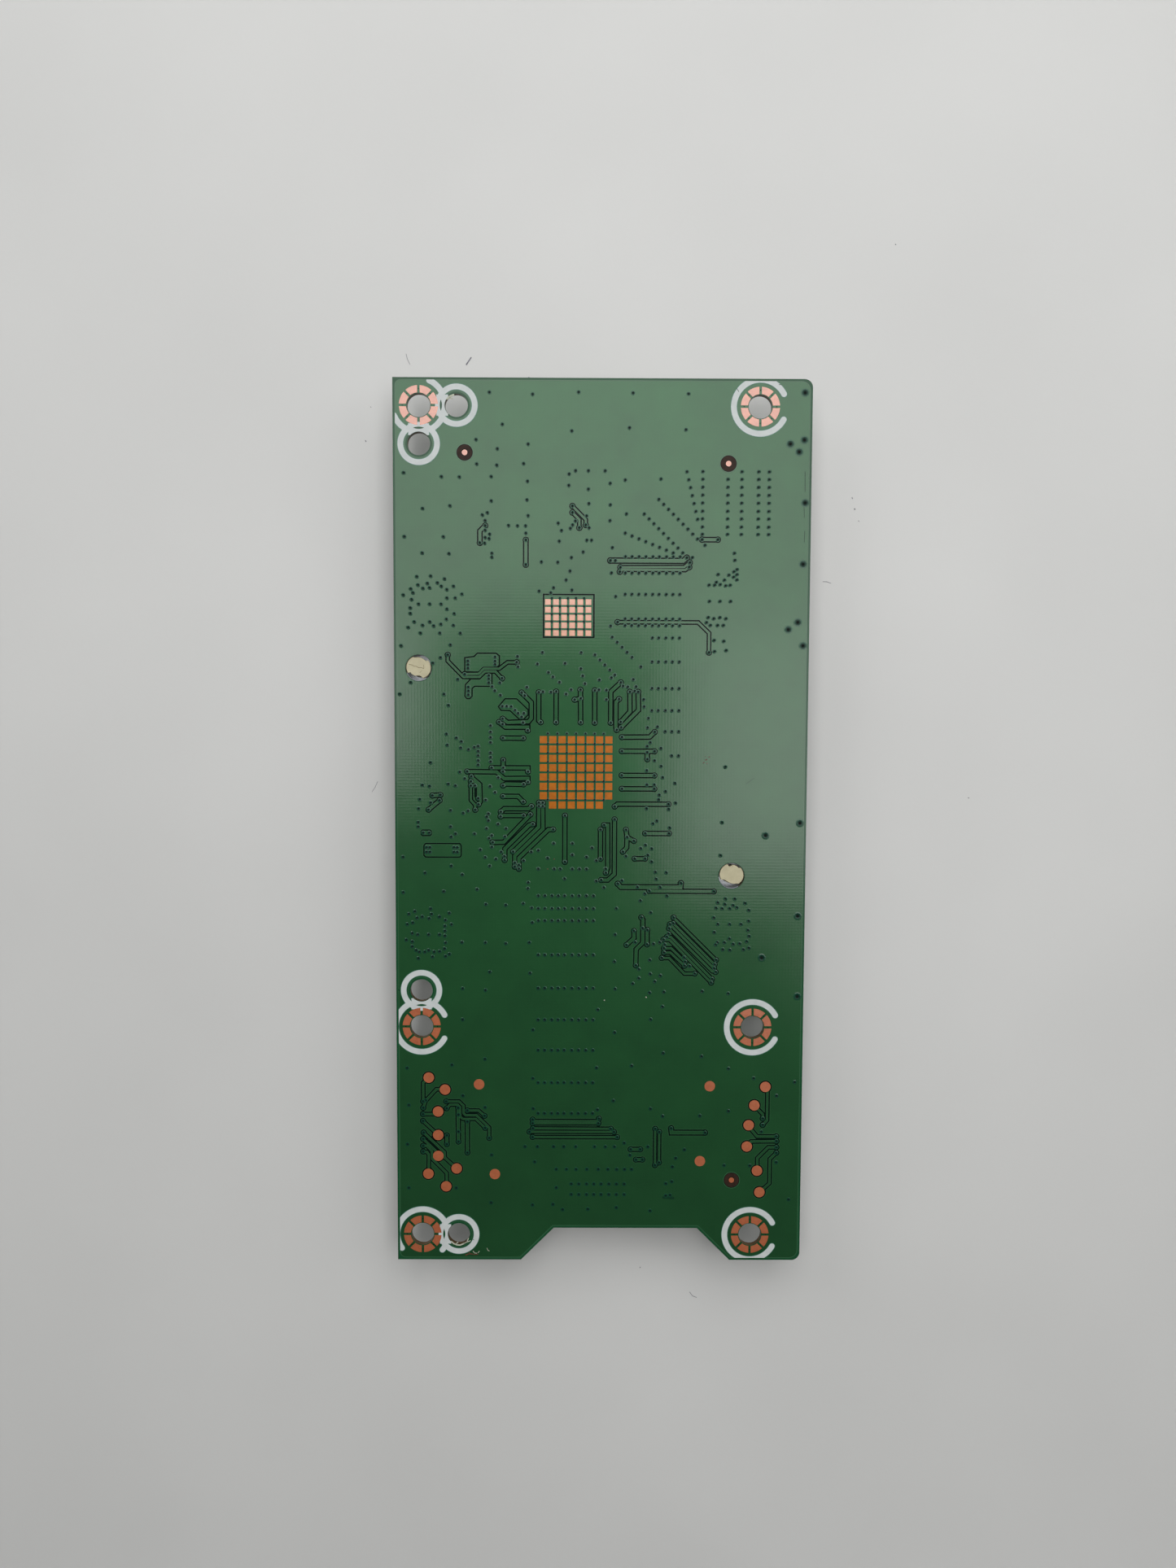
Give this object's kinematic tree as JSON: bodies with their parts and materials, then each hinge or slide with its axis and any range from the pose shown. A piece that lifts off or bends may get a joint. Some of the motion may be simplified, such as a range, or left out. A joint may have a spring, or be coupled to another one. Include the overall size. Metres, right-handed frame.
{
  "type": "timing control board",
  "caption": "Green circuit board with mounting holes, copper heat lands on its bare back, and a finned heat sink and two flip-lock cable sockets on its component side.",
  "frame": {"origin": "middle of the board in X and Y, at the level of the heat sink's fin tips, on which the part lies", "axes": "+Z out of the bare solder side, +Y along the board towards the end without the notch, +X towards the input socket"},
  "size_m": [0.075, 0.1616, 0.0103],
  "materials": {
    "solder_mask": "glossy green solder mask over copper",
    "bare_copper": "bare copper, satin",
    "chip_moulding": "matt black epoxy",
    "tinned_lead": "tin plated, satin",
    "thermal_silicone": "matt",
    "anodised_aluminium": "clear anodised",
    "cream_nylon": "moulded, semi matt",
    "spring_steel": "drawn wire",
    "socket_moulding": "moulded, matt",
    "lever_moulding": "moulded, matt",
    "ferrite": "pressed ferrite",
    "capacitor_ceramic": "fired ceramic",
    "resistor_glaze": "glazed",
    "fuse_ceramic": "fired ceramic"
  },
  "bodies": {
    "board": {"pcb": "solder_mask", "screw_lands": "bare_copper", "controller_heat_lands": "bare_copper", "power_heat_lands": "bare_copper", "test_lands": "bare_copper", "fiducials": "bare_copper", "ground_lands": "bare_copper", "controller_body": "chip_moulding", "controller_leads": "tinned_lead", "controller_slug": "tinned_lead", "thermal_pad": "thermal_silicone", "heat_sink": "anodised_aluminium", "push_pins": "cream_nylon", "pin_springs": "spring_steel", "power_chip_body": "chip_moulding", "input_socket_housing": "socket_moulding", "input_socket_contacts": "tinned_lead", "input_socket_tabs": "tinned_lead", "output_socket_housing": "socket_moulding", "output_socket_contacts": "tinned_lead", "output_socket_tabs": "tinned_lead", "inductor_bodies": "ferrite", "inductor_terminals": "tinned_lead", "diode_bodies": "chip_moulding", "diode_tabs": "tinned_lead", "large_capacitors": "capacitor_ceramic", "large_capacitor_caps": "tinned_lead", "small_capacitors": "capacitor_ceramic", "resistors": "resistor_glaze", "fuse_body": "fuse_ceramic", "fuse_caps": "tinned_lead", "driver_chip_bodies": "chip_moulding", "memory_body": "chip_moulding", "memory_leads": "tinned_lead", "crystal_base": "fuse_ceramic", "crystal_cover": "tinned_lead"},
    "input_lever": {"input_socket_lever": "lever_moulding"},
    "output_lever": {"output_socket_lever": "lever_moulding"}
  },
  "joints": [
    {"name": "input_lever_hinge", "type": "hinge", "parent": "board", "child": "input_lever", "pos_m": [0.03495, 0.0545, 0.00715], "axis": [0, 1, 0], "range_deg": [0, 90]},
    {"name": "output_lever_hinge", "type": "hinge", "parent": "board", "child": "output_lever", "pos_m": [0.0049, -0.07215, 0.00715], "axis": [1, 0, 0], "range_deg": [0, 90]}
  ]
}
